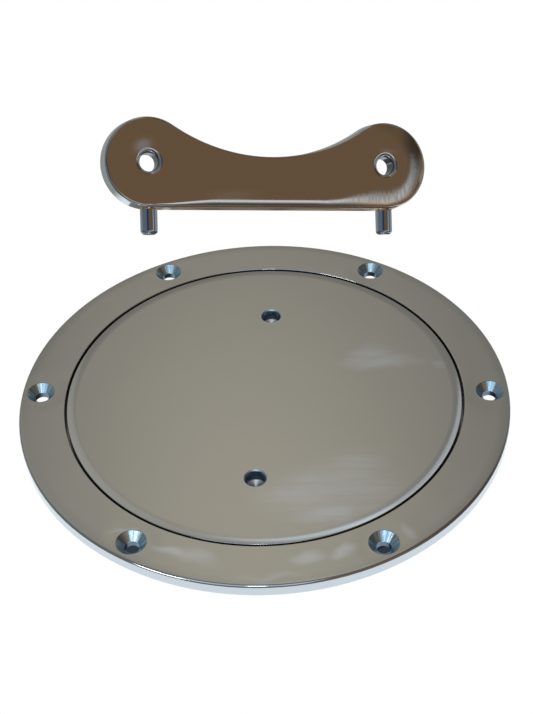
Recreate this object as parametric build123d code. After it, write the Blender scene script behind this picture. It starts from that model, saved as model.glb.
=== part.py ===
"""A screw-in deck hatch: a flanged deck ring, a flush lid, its O-ring and its pin key.

Millimetres. The origin is the centre of the flange's underside, which is the deck's surface. +Z points
up out of the deck and +X runs through one of the deck screws.
"""
from build123d import *
from math import hypot, radians, tan
import os

# Deck ring: flange and its countersunk screw holes
FLANGE_R = 94.0
FLANGE_TOP = 5.0
CROWN_R = 89.5
CROWN_DROP = 0.08
EDGE_ROUND = 1.0
FOOT_ROUND = 0.5
SCREW_COUNT = 6
SCREW_CIRCLE_R = 86.6
SCREW_HOLE_R = 2.65
SCREW_HEAD_R = 5.4
SCREW_HEAD_ANGLE = 90.0

# Deck ring: lid recess, seal seat and neck
RECESS_R = 76.65
RECESS_ROUND = 0.35
SEAT_Z = -1.6
BORE_R = 72.2
NECK_R = 79.5
NECK_STRAIGHT_Z = -5.0
NECK_FOOT_R = 76.2
NECK_FOOT_Z = -8.0
NECK_BOTTOM = -13.0

# Lid: flush plate and skirt
LID_R = 75.8
LID_UNDERSIDE = 1.2
LID_EDGE_RUN = 3.6
LID_EDGE_DROP = 0.27
LID_CORNER_ROUND = 0.3
SHOULDER_R = 72.6
SHOULDER_Z = -1.0
SKIRT_R = 69.2
SKIRT_TOP_Z = -2.4
SKIRT_WALL = 3.2
SKIRT_BOTTOM = -12.0

# Lid: blind holes for the key's pegs, in bosses
LID_CLOCK = 87.9
PEG_SPACING = 90.5
KEY_HOLE_R = 3.75
KEY_HOLE_DEPTH = 5.0
KEY_HOLE_RIM = 0.5
BOSS_R = 7.5
BOSS_FLOOR = 2.0
BOSS_ROUND = 1.0

# Screw thread: one ridge in the ring's bore and one on the lid's skirt, half a lead apart
LEAD = 6.0
RIDGE_BASE = 3.2
RIDGE_CREST = 1.6
RIDGE_SINK = 0.4
BORE_CREST_R = 70.2
BORE_RIDGE_Z = -11.2
BORE_RIDGE_TURNS = 1.2
SKIRT_CREST_R = 71.4
SKIRT_RIDGE_Z = -9.7
SKIRT_RIDGE_TURNS = 1.05
SKIRT_RIDGE_CLOCK = -90.0

# O-ring, between the lid's underside and the seat
SEAL_SECTION_R = 1.3
SEAL_CIRCLE_R = 74.4
SEAL_Z = (LID_UNDERSIDE + SEAT_Z) / 2

# Key: two round lobes joined by a waisted plate that narrows to its front, and a peg under each lobe
KEY_LOBE_R = 16.5
KEY_WAIST = 19.5
KEY_THICK = 7.6
KEY_DRAFT = 4.0
KEY_EDGE_ROUND = 1.0
KEY_EYE_R = 3.3
KEY_EYE_ROUND = 1.9
KEY_EYE_BACK_ROUND = 0.5
PEG_R = 3.1
PEG_LENGTH = 9.1
PEG_ROOT = 4.0
PEG_TIP_ROUND = 1.5

# The key is held up to view above the lid: the foot of its centre line, and its turns about X, Y and Z
KEY_PLACE = (3.5, 27.4, 70.7)
KEY_TURNS = (48.8, 20.2, 1.2)


def revolved(*outline):
    """Spin a closed outline, drawn as radius and height, about Z."""
    return revolve(Plane.XZ * make_face(Curve() + list(outline)), Axis.Z)


def thread_ridge(wall_r, crest_r, start_z, turns, clock):
    """One right-handed helical ridge of trapezoid section, sunk a little into its wall."""
    outward = 1 if crest_r > wall_r else -1
    root_r = wall_r - outward * RIDGE_SINK
    path = Helix(pitch=LEAD, height=LEAD * turns, radius=root_r)
    section = Polyline(
        (0, -RIDGE_BASE / 2),
        (crest_r - root_r, -RIDGE_CREST / 2),
        (crest_r - root_r, RIDGE_CREST / 2),
        (0, RIDGE_BASE / 2),
        close=True,
    )
    across = Plane(origin=path @ 0, x_dir=(1, 0, 0), z_dir=-(path % 0))
    ridge = sweep(across * make_face(section), path=path, is_frenet=True)
    return Pos(0, 0, start_z) * Rot(0, 0, clock) * ridge


def build_deck_ring():
    """The cast ring: crowned flange, six countersunk holes, lid recess, seal seat and threaded neck."""
    crown_edge = FLANGE_TOP - CROWN_DROP
    ring = revolved(
        Polyline(
            (RECESS_R, FLANGE_TOP - RECESS_ROUND),
            (RECESS_R, SEAT_Z),
            (BORE_R, SEAT_Z),
            (BORE_R, NECK_BOTTOM),
            (NECK_FOOT_R, NECK_BOTTOM),
            (NECK_FOOT_R, NECK_FOOT_Z),
            (NECK_R, NECK_STRAIGHT_Z),
            (NECK_R, 0),
            (FLANGE_R - FOOT_ROUND, 0),
        ),
        TangentArc((FLANGE_R - FOOT_ROUND, 0), (FLANGE_R, FOOT_ROUND), tangent=(1, 0)),
        Line((FLANGE_R, FOOT_ROUND), (FLANGE_R, crown_edge - EDGE_ROUND)),
        TangentArc(
            (FLANGE_R, crown_edge - EDGE_ROUND),
            (FLANGE_R - EDGE_ROUND, crown_edge),
            tangent=(0, 1),
        ),
        TangentArc((CROWN_R, FLANGE_TOP), (FLANGE_R - EDGE_ROUND, crown_edge), tangent=(1, 0)),
        Line((CROWN_R, FLANGE_TOP), (RECESS_R + RECESS_ROUND, FLANGE_TOP)),
        TangentArc(
            (RECESS_R + RECESS_ROUND, FLANGE_TOP),
            (RECESS_R, FLANGE_TOP - RECESS_ROUND),
            tangent=(-1, 0),
        ),
    )
    head_depth = (SCREW_HEAD_R - SCREW_HOLE_R) / tan(radians(SCREW_HEAD_ANGLE / 2))
    shank = Cylinder(SCREW_HOLE_R, 4 * FLANGE_TOP)
    head = Pos(0, 0, FLANGE_TOP - head_depth / 2) * Cone(SCREW_HOLE_R, SCREW_HEAD_R, head_depth)
    for place in PolarLocations(SCREW_CIRCLE_R, SCREW_COUNT):
        ring = ring - place * shank - place * head
    return ring + thread_ridge(BORE_R, BORE_CREST_R, BORE_RIDGE_Z, BORE_RIDGE_TURNS, 0)


def build_lid():
    """The cast lid: flush plate with a softened edge, two blind key holes in bosses, threaded skirt."""
    corner = FLANGE_TOP - LID_EDGE_DROP
    lid = revolved(
        Polyline(
            (LID_R, corner - LID_CORNER_ROUND),
            (LID_R, LID_UNDERSIDE),
            (SHOULDER_R, LID_UNDERSIDE),
            (SHOULDER_R, SHOULDER_Z),
            (SKIRT_R, SKIRT_TOP_Z),
            (SKIRT_R, SKIRT_BOTTOM),
            (SKIRT_R - SKIRT_WALL, SKIRT_BOTTOM),
            (SKIRT_R - SKIRT_WALL, LID_UNDERSIDE),
            (0, LID_UNDERSIDE),
            (0, FLANGE_TOP),
            (LID_R - LID_EDGE_RUN, FLANGE_TOP),
        ),
        TangentArc((LID_R - LID_EDGE_RUN, FLANGE_TOP), (LID_R - LID_CORNER_ROUND, corner), tangent=(1, 0)),
        TangentArc(
            (LID_R, corner - LID_CORNER_ROUND),
            (LID_R - LID_CORNER_ROUND, corner),
            tangent=(0, 1),
        ),
    )
    lid += thread_ridge(SKIRT_R, SKIRT_CREST_R, SKIRT_RIDGE_Z, SKIRT_RIDGE_TURNS, SKIRT_RIDGE_CLOCK)
    boss_bottom = FLANGE_TOP - KEY_HOLE_DEPTH - BOSS_FLOOR
    boss_height = LID_UNDERSIDE + 1 - boss_bottom
    boss = Pos(0, 0, boss_bottom + boss_height / 2) * Cylinder(BOSS_R, boss_height)
    boss = fillet(boss.edges().sort_by(Axis.Z)[0], BOSS_ROUND)
    hole = Pos(0, 0, FLANGE_TOP - KEY_HOLE_DEPTH / 2) * Cylinder(KEY_HOLE_R, KEY_HOLE_DEPTH)
    rim = Pos(0, 0, FLANGE_TOP - KEY_HOLE_RIM / 2) * Cone(KEY_HOLE_R, KEY_HOLE_R + KEY_HOLE_RIM, KEY_HOLE_RIM)
    for place in PolarLocations(PEG_SPACING / 2, 2, start_angle=LID_CLOCK):
        lid = lid + place * boss - place * hole - place * rim
    return lid


def build_o_ring():
    """The rubber O-ring under the rim of the lid."""
    return Pos(0, 0, SEAL_Z) * Torus(SEAL_CIRCLE_R, SEAL_SECTION_R)


def key_outline():
    """The key's outline, drawn with its straight foot on X and its lobes tangent to foot and hollow."""
    half = PEG_SPACING / 2
    hollow_r = (half**2 + (KEY_WAIST - KEY_LOBE_R) ** 2 - KEY_LOBE_R**2) / (2 * (2 * KEY_LOBE_R - KEY_WAIST))
    rise = KEY_WAIST + hollow_r - KEY_LOBE_R
    reach = hypot(half, rise)
    join_x = half * (1 - KEY_LOBE_R / reach)
    join_y = KEY_LOBE_R * (1 + rise / reach)
    return Curve() + [
        Line((-half, 0), (half, 0)),
        ThreePointArc((half, 0), (half + KEY_LOBE_R, KEY_LOBE_R), (join_x, join_y)),
        ThreePointArc((join_x, join_y), (0, KEY_WAIST), (-join_x, join_y)),
        ThreePointArc((-join_x, join_y), (-half - KEY_LOBE_R, KEY_LOBE_R), (-half, 0)),
    ]


def build_key():
    """The cast key: drafted plate with softened edges, a flared eye and a round peg at each lobe."""
    back = Pos(0, 0, -KEY_THICK / 2) * make_face(key_outline())
    key = extrude(back, KEY_THICK, dir=(0, 0, 1), taper=KEY_DRAFT)
    levels = key.faces().sort_by(Axis.Z)
    key = fillet(levels[0].edges() + levels[-1].edges(), KEY_EDGE_ROUND)
    for place in Locations((-PEG_SPACING / 2, KEY_LOBE_R), (PEG_SPACING / 2, KEY_LOBE_R)):
        key -= place * Cylinder(KEY_EYE_R, 2 * KEY_THICK)
    for face_z, rim_round in ((-KEY_THICK / 2, KEY_EYE_BACK_ROUND), (KEY_THICK / 2, KEY_EYE_ROUND)):
        rims = key.edges().filter_by(GeomType.CIRCLE).filter_by_position(Axis.Z, face_z - 0.01, face_z + 0.01)
        key = fillet(rims.filter_by(lambda edge: edge.radius < KEY_EYE_R + 0.01), rim_round)
    peg = Cylinder(PEG_R, PEG_LENGTH + PEG_ROOT)
    peg = fillet(peg.edges().sort_by(Axis.Z)[-1], PEG_TIP_ROUND)
    for side in (-1, 1):
        middle = (PEG_ROOT - PEG_LENGTH) / 2
        key += Pos(side * PEG_SPACING / 2, middle, 0) * Rot(90, 0, 0) * peg
    return Pos(*KEY_PLACE) * Rot(*KEY_TURNS) * key


PIECES = {
    "deck_ring": build_deck_ring,
    "lid": build_lid,
    "lid_o_ring": build_o_ring,
    "key": build_key,
}

os.makedirs("parts", exist_ok=True)
for node, build_piece in PIECES.items():
    piece = build_piece()
    export_step(piece, f"parts/{node}.step")
    print(node, round(piece.volume), "mm3")
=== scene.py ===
"""The looks of a screw-in deck hatch, its pin key held up above it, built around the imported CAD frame.

Metres, in the frame of the CAD model: +Z up, the origin on the deck's surface.
"""
from math import cos, pi, radians, sin, tau

import bpy
from mathutils import Matrix, Vector


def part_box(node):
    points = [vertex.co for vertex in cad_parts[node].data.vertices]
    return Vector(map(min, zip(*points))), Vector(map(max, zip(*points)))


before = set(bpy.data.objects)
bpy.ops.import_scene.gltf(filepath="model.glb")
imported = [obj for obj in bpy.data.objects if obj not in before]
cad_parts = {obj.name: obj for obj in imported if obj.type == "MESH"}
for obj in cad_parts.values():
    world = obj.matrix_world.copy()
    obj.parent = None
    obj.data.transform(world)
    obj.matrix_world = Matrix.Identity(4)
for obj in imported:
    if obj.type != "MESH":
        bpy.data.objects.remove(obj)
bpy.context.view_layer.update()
scene = bpy.context.scene

MM = 0.001

# The camera looks at a point on the lid, from in front and above; angles in degrees, the lens in mm
VIEW_TARGET = (0.5 * MM, 19.9 * MM, 5.0 * MM)
VIEW_AZIMUTH = 3.33
VIEW_ELEVATION = 41.76
VIEW_ROLL = -2.52
VIEW_DISTANCE = 508.4 * MM
LENS = 64.56
SENSOR_WIDTH = 36.0

# The floor: it glows white, and away from the hatch the metal mirrors it darker, as a room's floor
FLOOR_HALF = 6.0
FLOOR_GLOW = (0.97, 1.03, 1.08)
FLOOR_SEEN = (1.0, 1.0, 1.0)
FLOOR_SHADE = (0.030, 0.040, 0.055)
FLOOR_FRONT = (0.110, 0.080, 0.060)
FLOOR_BACK = (0.340, 0.375, 0.360)
FLOOR_FRONT_TO_BACK = (-75 * MM, 75 * MM)
# Distances from the hatch's axis between which the floor changes
GLOW_FADES = (112 * MM, 150 * MM)
SHADE_ENDS_SEEN = (80 * MM, 83.5 * MM)
SHADE_ENDS_MIRRORED = (80 * MM, 88 * MM)

# The sky: an even base with soft cards, which the metal mirrors; the camera sees plain white
SKY_BASE = (0.255, 0.235, 0.200)
SKY_SEEN = (1.0, 1.0, 1.0)
# Each card: name, azimuth from +X, elevation, half width and half height in degrees, even share, colour
SKY_CARDS = (
    ("back_wall", 95, 50, 16, 25, 0.00, (0.520, 0.460, 0.365)),
    ("ceiling_edge", 84, 61, 14, 5, 0.30, (0.750, 0.780, 0.780)),
    ("zenith", 90, 86, 24, 20, 0.60, (0.175, 0.205, 0.235)),
    ("left_wall", 128, 48, 18, 24, 0.30, (0.365, 0.338, 0.290)),
    ("front_left", 205, 36, 50, 36, 0.60, (0.170, 0.185, 0.175)),
    ("front_navy", 266, 45, 21, 28, 0.60, (0.020, 0.050, 0.130)),
    ("ceiling_right", 28, 56, 30, 20, 0.50, (0.120, 0.080, 0.048)),
    ("room_right", -42, 42, 34, 32, 0.75, (0.200, 0.118, 0.064)),
    ("right_dark", 8, 24, 46, 26, 0.30, (0.062, 0.044, 0.028)),
)

# Lamps that light only some pieces
# Each lamp: name, azimuth, elevation, width and height in degrees, radiance, colour, nodes
LAMP_DISTANCE = 4.0
LAMPS = (
    ("plate_flash", 266.5, 46, 6, 9, 6.0, (1.0, 1.0, 1.0), ("deck_ring", "lid")),
    ("plate_window", 262, 48, 44, 36, 0.7, (0.8, 0.93, 1.0), ("deck_ring", "lid")),
    ("rim_flash", 228, 27, 18, 14, 6.0, (1.0, 1.0, 1.0), ("deck_ring",)),
    ("lid_edge_wide", 60, 51, 14, 28, 0.32, (0.85, 0.92, 1.0), ("lid",)),
    ("lid_edge_core", 57, 55, 9, 18, 0.42, (0.85, 0.92, 1.0), ("lid",)),
    ("lid_edge_left", 123, 48, 16, 36, 0.10, (1.0, 0.97, 0.90), ("lid",)),
    ("key_strip", 304, 13, 84, 13, 0.62, (0.97, 0.97, 1.0), ("key",)),
    ("key_side", 344, 19, 16, 12, 0.42, (0.97, 0.97, 1.0), ("key",)),
)

# Colours of the metal and the rubber; several of the metal's are painted reflections, highlights and shade
METAL = (0.600, 0.640, 0.670)
# Machined metal, painted darker as shade in the recess, on the lid's skirt and underneath
MACHINED_AND_SHADED = (0.400, 0.420, 0.430)
# A lighter bluish tone: painted reflections and sheen on patches and rims, and the tone of worn nicks
WEAR_AND_PAINTED_SHEEN = (0.740, 0.840, 1.000)
# The countersinks' streaks: painted dark blue reflections and painted highlights
SINK_PAINTED_DARK_REFLECTION = (0.270, 0.480, 0.700)
SINK_PAINTED_HIGHLIGHT = (0.680, 0.890, 1.000)
# Painted shade in the screw holes below the countersinks
SCREW_HOLE_SHADE = (0.150, 0.200, 0.260)
# The lid's peg holes: painted shade on their walls, a painted glint on their floors
PEG_HOLE_WALL_SHADE = (0.200, 0.320, 0.450)
PEG_HOLE_FLOOR_GLINT = (0.900, 0.930, 0.960)
# The key's eyes in painted shade
EYE_SHADE = (0.110, 0.120, 0.145)
# A painted brown reflection along the key's foot
FOOT_PAINTED_REFLECTION = (0.600, 0.460, 0.350)
# A painted blue reflection on the key's pegs
PEG_PAINTED_REFLECTION = (0.500, 0.590, 0.720)
RUBBER_DARK = (0.010, 0.010, 0.011)
RUBBER_LIGHT = (0.022, 0.022, 0.023)

# Roughness; a pair is its range over streaks or grain
POLISHED = (0.05, 0.10)
MACHINED_ROUGHNESS = 0.30
SINK_ROUGHNESS = 0.29
LID_HAZE_ROUGHNESS = 0.16
LID_EDGE_ROUGHNESS = 0.12
PEG_HOLE_RIM_ROUGHNESS = 0.45
PEG_HOLE_WALL_ROUGHNESS = 0.22
PEG_HOLE_FLOOR_ROUGHNESS = 0.45
BRUSHED = (0.24, 0.38)
KEY_FLARE_ROUGHNESS = 0.50
RUBBER_ROUGHNESS = (0.6, 0.8)

# Relief of the finishes: depths, the radius of a nick, and the slope of the peg holes' dished floors
RING_WAVE = 0.22 * MM
LID_WAVE = 0.10 * MM
KEY_WAVE = 0.08 * MM
TURNING_DEPTH = 0.02 * MM
SINK_HOLLOW = 0.06 * MM
SINK_RAYS = 0.14 * MM
HAIR_DEPTH = 0.008 * MM
NICK_RADIUS = 0.35 * MM
LID_NICK_DEPTH = 0.02 * MM
KEY_NICK_DEPTH = 0.03 * MM
RUBBER_GRAIN = 0.03 * MM
PEG_HOLE_DISH_SLOPE = 0.90

# Bands of noise that streaks are made from, and the share of the haze that its streaks leave
NOISE_BAND = (0.3, 0.7)
SINK_STREAK_BAND = (0.28, 0.70)
HAZE_STREAK_BAND = (0.35, 0.65)
HAZE_STREAKS = (0.55, 1.0)

# Soft patches on a face: x and y in mm, half length, half width, turn in degrees, strength
# Those of the key are in its own frame
PATCH_WARP = 1.5 * MM
# The ring's patches are painted reflections
RING_PAINTED_REFLECTIONS = (
    (-29, -78.6, 9, 2.6, -12, 1.0),
    (-21, -81, 10, 4.2, -16, 0.7),
    (-47, -69.5, 7, 1.2, 12, 0.7),
    (17, -82.2, 7, 3.8, 18, 0.95),
    (29, -79, 7, 3.6, 25, 1.0),
    (52, -70, 5, 2.2, -35, 0.6),
    (5, -90, 16, 2.0, 4, 0.4),
)
# The lid's patches are hazy wear, also painted lighter as sheen
LID_HAZE = (
    (46, 17, 20, 6, 3, 1.0),
    (42, 20, 12, 8, 3, 0.8),
    (68, 15, 4, 3, 3, 0.5),
    (25, -61, 17, 7, 14, 1.0),
    (20, -52, 26, 13, 8, 0.8),
    (33, -42, 18, 14, 25, 0.6),
    (28, -52, 28, 20, 12, 0.7),
)
# The key's patches are rougher flares, also painted lighter as highlights
KEY_FLARE = (
    (-47.6, 22.2, 5.5, 3.8, 25, 1.0),
    (46, 22.0, 6, 1.4, -8, 0.5),
    (-15, 5.0, 14, 2.6, 2, 0.4),
)

# Where the finish changes on the ring and the lid, by height or by distance from the axis
SOFT = 0.2 * MM
TOP_FACE = 4.6 * MM
RECESS_RADIUS = 77.1 * MM
LID_EDGE = (75.3 * MM, 75.6 * MM)
LID_EDGE_HAZE = (70 * MM, 74 * MM)
LID_UNDERSIDE = (1.4 * MM, 1.1 * MM)
SCREW_CIRCLE = 86.6 * MM
SCREW_COUNT = 6
SCREW_HEAD = 5.4 * MM
SINK_FOOT = 2.25 * MM
PEG_HOLE = 3.75 * MM
PEG_HOLE_BOTTOM = (0.5 * MM, 0.3 * MM)
LID_CLOCK = radians(87.9)

# Half the distance between the key's pegs, which is that of its eyes and of the lid's holes too
PEG_SIDE = 45.25 * MM

# The key's own frame: x along it, y up from the middle of its foot, z out of its front; turns in degrees
# Its lobes' radius is also how far up their middles and the eyes are
KEY_PLACE = (3.5 * MM, 27.4 * MM, 70.7 * MM)
KEY_TURNS = (48.8, 20.2, 1.2)
KEY_FRONT = (1.5 * MM, 2.5 * MM)
LOBE = 16.5 * MM
KEY_EYE = 3.3 * MM
FOOT_FACE = (0.9 * MM, 0.4 * MM)
PEG_TOP = (-0.1 * MM, -0.5 * MM)

# The brushed roll along the key's foot and right lobe: its width, and the bands of x or y in which it changes
ROLL_LEFT = 2.2 * MM
ROLL_MIDDLE = 4.4 * MM
ROLL_RIGHT = 8.2 * MM
ROLL_WIDENS_LEFT = (-45 * MM, -19 * MM)
ROLL_WIDENS_RIGHT = (20 * MM, 44 * MM)
ROLL_BEGINS = (-52 * MM, -42 * MM)
ROLL_FOOT = (18 * MM, 11 * MM)
ROLL_LOBE = (36 * MM, 50 * MM)
ROLL_LOBE_FADES = (40 * MM, 16 * MM)
ROLL_ABOVE_PEGS = (-0.2 * MM, 0.1 * MM)
ROLL_HAZE_FADES = (27 * MM, 13 * MM)
# The roll's haze, by how far inside the edge a place is, counted in widths of the roll
HAZE_INNER = (1.2, 0.65)
HAZE_OUTER = (0.12, 0.5)
# How steeply the roll falls away, and where along the key and up its side that changes
SLOPE_LEFT_TO_RIGHT = (0.35, 0.215)
SLOPE_EASES = (15 * MM, 42 * MM)
SLOPE_SIDE = (0.0, 0.085)
SLOPE_RISES = (1 * MM, 13 * MM)
# How far over the roll the painted brown reflection on its foot starts and is whole
FOOT_TINT = (0.50, 0.80)
# The share of the brushed roughness, which grows towards the right lobe
BRUSHED_GROWS = (10 * MM, 42 * MM)
BRUSHED_SHARE = (0.35, 1.0)


def heading(azimuth, elevation):
    """The unit vector at that azimuth, counted from +X, and elevation."""
    a, e = radians(azimuth), radians(elevation)
    return Vector((cos(a) * cos(e), sin(a) * cos(e), sin(e)))


def sideways(azimuth):
    """The level unit vector to the left of that azimuth."""
    return heading(azimuth + 90, 0)


class Nodes:
    """A node tree that is filled one node at a time."""

    def __init__(self, tree):
        tree.nodes.clear()
        self.tree = tree

    def add(self, kind, inputs=None, **settings):
        """Adds a node; inputs maps socket names or numbers to values or to other nodes' outputs."""
        node = self.tree.nodes.new("ShaderNode" + kind)
        for name, value in settings.items():
            setattr(node, name, value)
        for socket, value in (inputs or {}).items():
            if isinstance(value, bpy.types.NodeSocket):
                self.tree.links.new(value, node.inputs[socket])
            else:
                node.inputs[socket].default_value = value
        return node

    def mix(self, factor, first, second):
        """A colour between first and second, each an RGB triple or a node's output."""
        ends = [(*end, 1.0) if isinstance(end, tuple) else end for end in (first, second)]
        return self.add("Mix", {0: factor, 6: ends[0], 7: ends[1]}, data_type="RGBA").outputs[2]

    def blend(self, factor, first, second):
        """A number between first and second."""
        return self.add("Mix", {0: factor, 2: first, 3: second}).outputs[0]

    def maths(self, operation, first, second=0.0):
        """One arithmetic step."""
        return self.add("Math", {0: first, 1: second}, operation=operation).outputs[0]

    def either(self, first, second):
        """The larger of two masks."""
        return self.maths("MAXIMUM", first, second)

    def both(self, first, second):
        """The product of two masks, or of a mask and a height."""
        return self.maths("MULTIPLY", first, second)

    def vector(self, operation, first, second=(0.0, 0.0, 0.0)):
        """One vector step that gives a vector."""
        return self.add("VectorMath", {0: first, 1: second}, operation=operation).outputs[0]

    def measure(self, operation, first, second=(0.0, 0.0, 0.0)):
        """One vector step that gives a number."""
        return self.add("VectorMath", {0: first, 1: second}, operation=operation).outputs["Value"]

    def split(self, place):
        """The x, y and z of a place."""
        return self.add("SeparateXYZ", {0: place}).outputs

    def join(self, x, y, z=0.0):
        """The place at x, y and z."""
        return self.add("CombineXYZ", {0: x, 1: y, 2: z}).outputs[0]

    def off_axis(self, place):
        """How far a place is from the Z axis."""
        return self.measure("LENGTH", self.vector("MULTIPLY", place, (1.0, 1.0, 0.0)))

    def ease(self, value, low, high, to_low=0.0, to_high=1.0):
        """value, eased from to_low at low to to_high at high."""
        node = self.add(
            "MapRange",
            {0: value, 1: low, 2: high, 3: to_low, 4: to_high},
            interpolation_type="SMOOTHSTEP",
        )
        return node.outputs[0]

    def local(self, place, centre=(0, 0, 0), turn=(0, 0, 0), sizes=(1, 1, 1)):
        """place as seen from a frame at centre, turned by an XYZ Euler turn and scaled by sizes."""
        node = self.add(
            "Mapping",
            {"Vector": place, "Location": centre, "Rotation": turn, "Scale": sizes},
            vector_type="TEXTURE",
        )
        return node.outputs[0]

    def noise(self, place, scale, detail=2.0, sizes=None):
        """Noise from 0 to 1; sizes stretches it along the axes."""
        if sizes:
            place = self.local(place, sizes=sizes)
        return self.add("TexNoise", {"Vector": place, "Scale": scale, "Detail": detail}).outputs[0]

    def spot(self, place, patch):
        """A soft oval patch on a face, given by its table row, strongest in its middle."""
        x, y, length, width, turn, strength = patch
        inside = self.local(
            place,
            (x * MM, y * MM, 0),
            (0, 0, radians(turn)),
            (length * MM, width * MM, 1.0),
        )
        return self.ease(self.off_axis(inside), 1.1, 0.1, 0.0, strength)

    def spots(self, place, table, warp=0.0):
        """The strongest of several soft patches, their outlines bent by up to about warp."""
        if warp:
            bend = self.add("TexNoise", {"Vector": place, "Scale": 110.0, "Detail": 1.0}).outputs["Color"]
            bend = self.vector("SUBTRACT", bend, (0.5, 0.5, 0.5))
            place = self.vector("ADD", place, self.vector("MULTIPLY", bend, (4 * warp, 4 * warp, 0.0)))
        mask = self.spot(place, table[0])
        for row in table[1:]:
            mask = self.either(mask, self.spot(place, row))
        return mask

    def nicks(self, place, scale):
        """Sparse tiny nicks, 1 in the middle of each."""
        cells = self.add("TexVoronoi", {"Vector": place, "Scale": scale})
        chosen = self.maths("GREATER_THAN", self.split(cells.outputs["Color"])[0], 0.6)
        return self.both(chosen, self.ease(cells.outputs["Distance"], NICK_RADIUS * scale, 0.0))


def new_material(name):
    """An empty node material, its tree, and the object's own coordinates in it."""
    material = bpy.data.materials.new(name)
    material.use_nodes = True
    nodes = Nodes(material.node_tree)
    return material, nodes, nodes.add("TexCoord").outputs["Object"]


def place_camera():
    """The camera at the viewing angle, with its small roll."""
    data = bpy.data.cameras.new("camera")
    data.lens = LENS
    data.sensor_width = SENSOR_WIDTH
    data.clip_start = 0.01
    data.clip_end = 100.0
    camera = bpy.data.objects.new("camera", data)
    scene.collection.objects.link(camera)
    turn = (
        Matrix.Rotation(radians(VIEW_AZIMUTH), 4, "Z")
        @ Matrix.Rotation(radians(90 - VIEW_ELEVATION), 4, "X")
        @ Matrix.Rotation(radians(VIEW_ROLL), 4, "Z")
    )
    back = turn @ Vector((0, 0, 1))
    camera.matrix_world = Matrix.Translation(Vector(VIEW_TARGET) + VIEW_DISTANCE * back) @ turn
    scene.camera = camera


def card_share(nodes, towards, azimuth, elevation, half_width, half_height, core):
    """How much of a soft oval card lies in a direction."""
    centre = heading(azimuth, elevation)
    across = sideways(azimuth)
    up = centre.cross(across)
    u = nodes.maths("DIVIDE", nodes.measure("DOT_PRODUCT", towards, tuple(across)), sin(radians(half_width)))
    v = nodes.maths("DIVIDE", nodes.measure("DOT_PRODUCT", towards, tuple(up)), sin(radians(half_height)))
    away = nodes.measure("LENGTH", nodes.join(u, v))
    facing = nodes.maths("GREATER_THAN", nodes.measure("DOT_PRODUCT", towards, tuple(centre)), 0.0)
    return nodes.both(nodes.ease(away, 1.0, core), facing)


def build_sky():
    """Soft cards on an even sky; the camera itself sees a plain white surround."""
    world = bpy.data.worlds.new("studio")
    world.use_nodes = True
    scene.world = world
    nodes = Nodes(world.node_tree)
    towards = nodes.add("TexCoord").outputs["Generated"]
    colour = SKY_BASE
    for name, azimuth, elevation, half_width, half_height, core, shade in SKY_CARDS:
        share = card_share(nodes, towards, azimuth, elevation, half_width, half_height, core)
        colour = nodes.mix(share, colour, shade)
        colour.node.label = name
    seen = nodes.add("LightPath").outputs["Is Camera Ray"]
    shown = nodes.mix(seen, colour, SKY_SEEN)
    studio = nodes.add("Background", {"Color": shown, "Strength": 1.0})
    nodes.add("OutputWorld", {"Surface": studio.outputs[0]})


def floor_glow():
    """The floor's light: dark under the hatch, white around it, and dimmer further off in reflections."""
    material, nodes, place = new_material("floor")
    reach = nodes.off_axis(place)
    back = nodes.ease(nodes.split(place)[1], *FLOOR_FRONT_TO_BACK)
    far = nodes.mix(back, FLOOR_FRONT, FLOOR_BACK)
    mirrored = nodes.mix(nodes.ease(reach, *GLOW_FADES), FLOOR_GLOW, far)
    seen = nodes.add("LightPath").outputs["Is Camera Ray"]
    glow = nodes.mix(seen, mirrored, FLOOR_SEEN)
    lit = nodes.blend(seen, nodes.ease(reach, *SHADE_ENDS_MIRRORED), nodes.ease(reach, *SHADE_ENDS_SEEN))
    light = nodes.add("Emission", {"Color": nodes.mix(lit, FLOOR_SHADE, glow), "Strength": 1.0})
    nodes.add("OutputMaterial", {"Surface": light.outputs[0]})
    return material


def build_floor():
    """A plain pale floor under the neck of the ring."""
    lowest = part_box("deck_ring")[0].z
    mesh = bpy.data.meshes.new("floor")
    h = FLOOR_HALF
    corners = [(-h, -h, lowest), (h, -h, lowest), (h, h, lowest), (-h, h, lowest)]
    mesh.from_pydata(corners, [], [(0, 1, 2, 3)])
    mesh.materials.append(floor_glow())
    floor = bpy.data.objects.new("floor", mesh)
    scene.collection.objects.link(floor)


def build_lamps():
    """Soft boxes that show up as highlights on the named pieces alone."""
    for name, azimuth, elevation, width, height, radiance, colour, lit in LAMPS:
        data = bpy.data.lights.new(name, "AREA")
        data.shape = "RECTANGLE"
        data.size = LAMP_DISTANCE * radians(width)
        data.size_y = LAMP_DISTANCE * radians(height)
        data.energy = radiance * pi * data.size * data.size_y
        data.color = colour
        lamp = bpy.data.objects.new(name, data)
        scene.collection.objects.link(lamp)
        lamp.location = LAMP_DISTANCE * heading(azimuth, elevation)
        lamp.rotation_euler = heading(azimuth, elevation).to_track_quat("Z", "Y").to_euler()
        lamp.visible_camera = False
        receivers = bpy.data.collections.new(name + "_lit")
        for node in lit:
            receivers.objects.link(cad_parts[node])
        lamp.light_linking.receiver_collection = receivers


def finish_metal(nodes, colour, roughness, bumps):
    """The metal's shader; each bump is a height and the factor that turns it into metres."""
    normal = None
    for height, depth in bumps:
        step = {"Height": height, "Strength": 1.0, "Distance": depth}
        if normal:
            step["Normal"] = normal
        normal = nodes.add("Bump", step).outputs[0]
    metal = nodes.add(
        "BsdfPrincipled",
        {"Base Color": colour, "Metallic": 1.0, "Roughness": roughness, "Normal": normal},
    )
    nodes.add("OutputMaterial", {"Surface": metal.outputs[0]})


def polish(nodes, place):
    """The roughness of the mirror polish, with faint buffing streaks along X."""
    buffed = nodes.noise(place, scale=600.0, detail=3.0, sizes=(6.0, 1.0, 1.0))
    return nodes.ease(buffed, *NOISE_BAND, *POLISHED)


def turning_marks(nodes, z, radius):
    """Fine rings of turning marks about Z, from 0 to 1."""
    return nodes.noise(nodes.join(radius, z), scale=2600.0)


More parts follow.
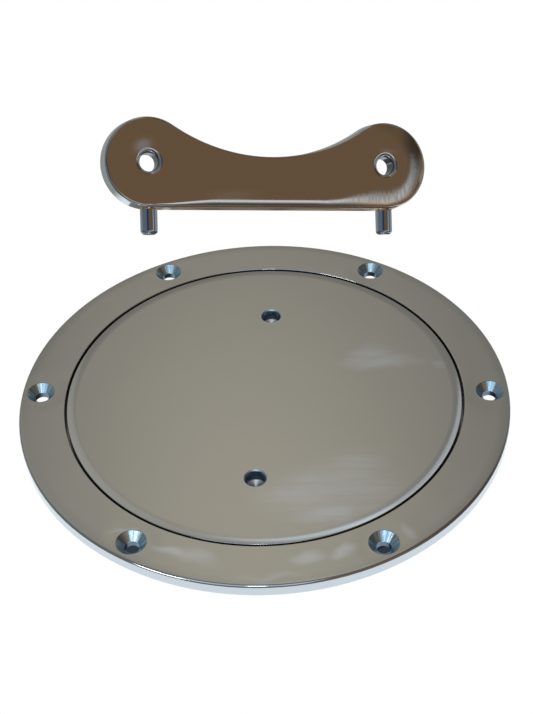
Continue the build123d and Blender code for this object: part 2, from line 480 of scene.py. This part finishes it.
def screw_marks(nodes, place, radius):
    """A mask of the six countersinks, the radial streaks in them, and the distance from their middle."""
    x, y, _ = nodes.split(place)
    sector = tau / SCREW_COUNT
    angle = nodes.maths("ARCTAN2", y, x)
    nearest = nodes.maths("ROUND", nodes.maths("DIVIDE", angle, sector))
    folded = nodes.maths("SUBTRACT", angle, nodes.maths("MULTIPLY", nearest, sector))
    forward = nodes.maths("MULTIPLY", radius, nodes.maths("COSINE", folded))
    out = nodes.maths("SUBTRACT", forward, SCREW_CIRCLE)
    side = nodes.maths("MULTIPLY", radius, nodes.maths("SINE", folded))
    spoke = nodes.join(out, side)
    reach = nodes.measure("LENGTH", spoke)
    mask = nodes.ease(reach, SCREW_HEAD * 1.02, SCREW_HEAD * 0.98)
    ray_x, ray_y, _ = nodes.split(nodes.vector("NORMALIZE", spoke))
    own_streaks = nodes.maths("MULTIPLY", nearest, 3.7)
    ray = nodes.join(ray_x, ray_y, own_streaks)
    return mask, nodes.noise(ray, scale=4.0, detail=3.0), reach


def ring_metal():
    """The ring: a polished flange and streaked countersinks with painted reflections, machined inside and
    below with painted shade.
    """
    material, nodes, place = new_material("ring_metal")
    z, radius = nodes.split(place)[2], nodes.off_axis(place)
    sunk, streaks, reach = screw_marks(nodes, place, radius)
    inner = nodes.ease(radius, RECESS_RADIUS, RECESS_RADIUS - SOFT)
    below = nodes.ease(z, TOP_FACE, TOP_FACE - SOFT)
    under = nodes.ease(z, SOFT, -SOFT)
    machined = nodes.both(nodes.either(nodes.both(inner, below), under), nodes.maths("SUBTRACT", 1.0, sunk))
    on_top = nodes.ease(z, TOP_FACE - SOFT, TOP_FACE)
    # Painted reflections: soft lighter patches on the flange's top face
    painted_reflections = nodes.both(nodes.spots(place, RING_PAINTED_REFLECTIONS, PATCH_WARP), on_top)
    # The countersinks' streaks in painted blue reflections and highlights
    sink_reflections_and_shade = nodes.mix(nodes.ease(streaks, *SINK_STREAK_BAND), SINK_PAINTED_DARK_REFLECTION, SINK_PAINTED_HIGHLIGHT)
    # Painted shade in the holes below the countersinks
    sink_reflections_and_shade = nodes.mix(nodes.ease(z, SINK_FOOT, SINK_FOOT - SOFT), sink_reflections_and_shade, SCREW_HOLE_SHADE)
    colour = nodes.mix(painted_reflections, METAL, WEAR_AND_PAINTED_SHEEN)
    # Machined inside the recess and underneath, painted darker there as shade
    colour = nodes.mix(machined, colour, MACHINED_AND_SHADED)
    colour = nodes.mix(sunk, colour, sink_reflections_and_shade)
    roughness = nodes.blend(machined, polish(nodes, place), MACHINED_ROUGHNESS)
    roughness = nodes.blend(sunk, roughness, SINK_ROUGHNESS)
    wave = nodes.noise(place, scale=28.0, detail=1.0)
    hollow = nodes.ease(reach, SCREW_HEAD, SCREW_HEAD * 2.2)
    grooves = nodes.both(turning_marks(nodes, z, radius), machined)
    rays = nodes.both(streaks, sunk)
    bumps = ((wave, RING_WAVE), (hollow, SINK_HOLLOW), (grooves, TURNING_DEPTH), (rays, SINK_RAYS))
    finish_metal(nodes, colour, roughness, bumps)
    return material


def peg_hole_masks(nodes, place):
    """Masks of the lid's two peg holes and of their rims, and the distance from their middle."""
    turned = nodes.local(place, turn=(0, 0, LID_CLOCK))
    one_side = nodes.vector("ABSOLUTE", turned)
    reach = nodes.off_axis(nodes.vector("SUBTRACT", one_side, (PEG_SIDE, 0, 0)))
    holes = nodes.ease(reach, PEG_HOLE + 0.12 * MM, PEG_HOLE + 0.04 * MM)
    rims = nodes.ease(reach, PEG_HOLE + 1.1 * MM, PEG_HOLE + 0.5 * MM)
    return holes, rims, reach


def lid_haze(nodes, place):
    """The lid's hazy patches of wear, broken up by streaks along X; its colour also paints them lighter as
    sheen.
    """
    streaks = nodes.noise(place, scale=260.0, detail=4.0, sizes=(12.0, 1.0, 1.0))
    return nodes.both(
        nodes.spots(place, LID_HAZE, PATCH_WARP),
        nodes.ease(streaks, *HAZE_STREAK_BAND, *HAZE_STREAKS),
    )


def lid_metal():
    """The lid: polished with hazy wear, machined in its holes, on its skirt and below; with painted sheen,
    glint and shade.
    """
    material, nodes, place = new_material("lid_metal")
    z, radius = nodes.split(place)[2], nodes.off_axis(place)
    skirt = nodes.both(nodes.ease(radius, *LID_EDGE), nodes.ease(z, TOP_FACE, TOP_FACE - SOFT))
    machined = nodes.either(skirt, nodes.ease(z, *LID_UNDERSIDE))
    holes, rims, reach = peg_hole_masks(nodes, place)
    bottom = nodes.ease(z, *PEG_HOLE_BOTTOM)
    haze = lid_haze(nodes, place)
    nicks = nodes.nicks(place, scale=70.0)
    # Nicks and hazy wear; the haze and the peg holes' rims are also painted lighter as sheen
    wear_and_sheen = nodes.either(nodes.either(haze, nicks), rims)
    colour = nodes.mix(wear_and_sheen, METAL, WEAR_AND_PAINTED_SHEEN)
    # Machined on the skirt and underneath, painted darker there as shade
    colour = nodes.mix(machined, colour, MACHINED_AND_SHADED)
    # Painted shade on the peg holes' walls and a painted glint on their floors
    colour = nodes.mix(holes, colour, nodes.mix(bottom, PEG_HOLE_WALL_SHADE, PEG_HOLE_FLOOR_GLINT))
    in_holes = nodes.blend(bottom, PEG_HOLE_WALL_ROUGHNESS, PEG_HOLE_FLOOR_ROUGHNESS)
    roughness = nodes.blend(haze, polish(nodes, place), LID_HAZE_ROUGHNESS)
    roughness = nodes.blend(nodes.ease(radius, *LID_EDGE_HAZE), roughness, LID_EDGE_ROUGHNESS)
    roughness = nodes.blend(rims, roughness, PEG_HOLE_RIM_ROUGHNESS)
    roughness = nodes.blend(machined, roughness, MACHINED_ROUGHNESS)
    roughness = nodes.blend(holes, roughness, in_holes)
    wave = nodes.noise(place, scale=22.0, detail=1.0)
    grooves = nodes.both(turning_marks(nodes, z, radius), machined)
    dish = nodes.both(nodes.both(reach, bottom), holes)
    bumps = (
        (wave, LID_WAVE),
        (grooves, TURNING_DEPTH),
        (nicks, -LID_NICK_DEPTH),
        (dish, PEG_HOLE_DISH_SLOPE),
    )
    finish_metal(nodes, colour, roughness, bumps)
    return material


def key_turn():
    """The key's turns about its own X, then Y, then Z, as one Blender Euler."""
    x, y, z = (Matrix.Rotation(radians(angle), 3, axis) for angle, axis in zip(KEY_TURNS, "XYZ"))
    return tuple((x @ y @ z).to_euler())


def key_eye_mask(nodes, x, y):
    """A mask of the walls of the key's two eyes."""
    side = nodes.maths("SUBTRACT", nodes.maths("ABSOLUTE", x), PEG_SIDE)
    rise = nodes.maths("SUBTRACT", y, LOBE)
    reach = nodes.measure("LENGTH", nodes.join(side, rise))
    return nodes.ease(reach, KEY_EYE * 1.25, KEY_EYE)


def roll_share(nodes, x, y):
    """How much of the roll there is: all along the foot and part of the way round the right lobe."""
    lobe = nodes.both(nodes.ease(x, *ROLL_LOBE), nodes.ease(y, *ROLL_LOBE_FADES, 0.4, 1.0))
    along = nodes.both(nodes.either(nodes.ease(y, *ROLL_FOOT), lobe), nodes.ease(x, *ROLL_BEGINS))
    return nodes.both(along, nodes.ease(y, *ROLL_ABOVE_PEGS))


def key_roll(nodes, x, y):
    """The roll of the key's front: from 0 inside it to 1 at the edge, its drop in metres, its haze."""
    middle = nodes.ease(x, *ROLL_WIDENS_LEFT, ROLL_LEFT, ROLL_MIDDLE)
    more = nodes.ease(x, *ROLL_WIDENS_RIGHT, 0.0, ROLL_RIGHT - ROLL_MIDDLE)
    width = nodes.maths("ADD", middle, more)
    past = nodes.maths("MAXIMUM", nodes.maths("SUBTRACT", x, PEG_SIDE), 0.0)
    rise = nodes.maths("SUBTRACT", y, LOBE)
    reach = nodes.measure("LENGTH", nodes.join(past, rise))
    inside = nodes.maths("DIVIDE", nodes.maths("SUBTRACT", LOBE, reach), width)
    share = roll_share(nodes, x, y)
    over = nodes.both(nodes.maths("MAXIMUM", nodes.maths("SUBTRACT", 1.0, inside), 0.0), share)
    along = nodes.ease(x, *SLOPE_EASES, *SLOPE_LEFT_TO_RIGHT)
    slope = nodes.maths("ADD", along, nodes.ease(y, *SLOPE_RISES, *SLOPE_SIDE))
    drop = nodes.both(nodes.maths("POWER", over, 2.0), nodes.both(width, slope))
    haze = nodes.both(nodes.ease(inside, *HAZE_INNER), nodes.ease(inside, *HAZE_OUTER))
    return over, drop, nodes.both(haze, nodes.both(share, nodes.ease(y, *ROLL_HAZE_FADES)))


def key_metal():
    """The key: polished, with a brushed roll along its foot and right lobe, eyes in painted shade, foot and
    pegs in painted reflections.
    """
    material, nodes, place = new_material("key_metal")
    own = nodes.local(place, KEY_PLACE, key_turn())
    x, y, z = nodes.split(own)
    front = nodes.ease(z, *KEY_FRONT)
    over, drop, haze = key_roll(nodes, x, y)
    brushed = nodes.both(haze, front)
    flare = nodes.both(nodes.spots(own, KEY_FLARE), front)
    hairs = nodes.noise(own, scale=1500.0, detail=3.0, sizes=(1.0, 9.0, 1.0))
    nicks = nodes.nicks(own, scale=60.0)
    coarse = nodes.both(
        nodes.ease(x, *BRUSHED_GROWS, *BRUSHED_SHARE),
        nodes.ease(hairs, *NOISE_BAND, *BRUSHED),
    )
    roughness = nodes.blend(brushed, polish(nodes, own), coarse)
    roughness = nodes.blend(flare, roughness, KEY_FLARE_ROUGHNESS)
    # A painted brown reflection along the foot's roll and on its bottom face
    foot = nodes.either(nodes.both(nodes.ease(over, *FOOT_TINT), front), nodes.ease(y, *FOOT_FACE))
    # Nicks, and the flares painted lighter as highlights
    colour = nodes.mix(nodes.either(nicks, flare), METAL, WEAR_AND_PAINTED_SHEEN)
    # Painted shade on the walls of the eyes
    colour = nodes.mix(key_eye_mask(nodes, x, y), colour, EYE_SHADE)
    colour = nodes.mix(foot, colour, FOOT_PAINTED_REFLECTION)
    # The pegs in a painted blue reflection
    colour = nodes.mix(nodes.ease(y, *PEG_TOP), colour, PEG_PAINTED_REFLECTION)
    wave = nodes.noise(own, scale=30.0, detail=1.0)
    bumps = (
        (wave, KEY_WAVE),
        (nodes.both(drop, front), -1.0),
        (nodes.both(hairs, brushed), HAIR_DEPTH),
        (nicks, -KEY_NICK_DEPTH),
    )
    finish_metal(nodes, colour, roughness, bumps)
    return material


def seal_rubber():
    """Matt black rubber with a fine moulded grain."""
    material, nodes, place = new_material("seal_rubber")
    grain = nodes.noise(place, scale=1500.0)
    bump = nodes.add("Bump", {"Height": grain, "Strength": 1.0, "Distance": RUBBER_GRAIN})
    rubber = nodes.add(
        "BsdfPrincipled",
        {
            "Base Color": nodes.mix(grain, RUBBER_DARK, RUBBER_LIGHT),
            "Roughness": nodes.ease(grain, 0.2, 0.8, *RUBBER_ROUGHNESS),
            "Normal": bump.outputs[0],
        },
    )
    nodes.add("OutputMaterial", {"Surface": rubber.outputs[0]})
    return material


def dress(node, material):
    """Gives a CAD node its finished material."""
    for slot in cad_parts[node].material_slots:
        slot.material = material


place_camera()
build_sky()
build_floor()
build_lamps()
dress("deck_ring", ring_metal())
dress("lid", lid_metal())
dress("key", key_metal())
dress("lid_o_ring", seal_rubber())
# Nothing mirrors the key or lies in its shadow
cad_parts["key"].visible_glossy = False
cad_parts["key"].visible_shadow = False
scene.view_settings.view_transform = "Standard"
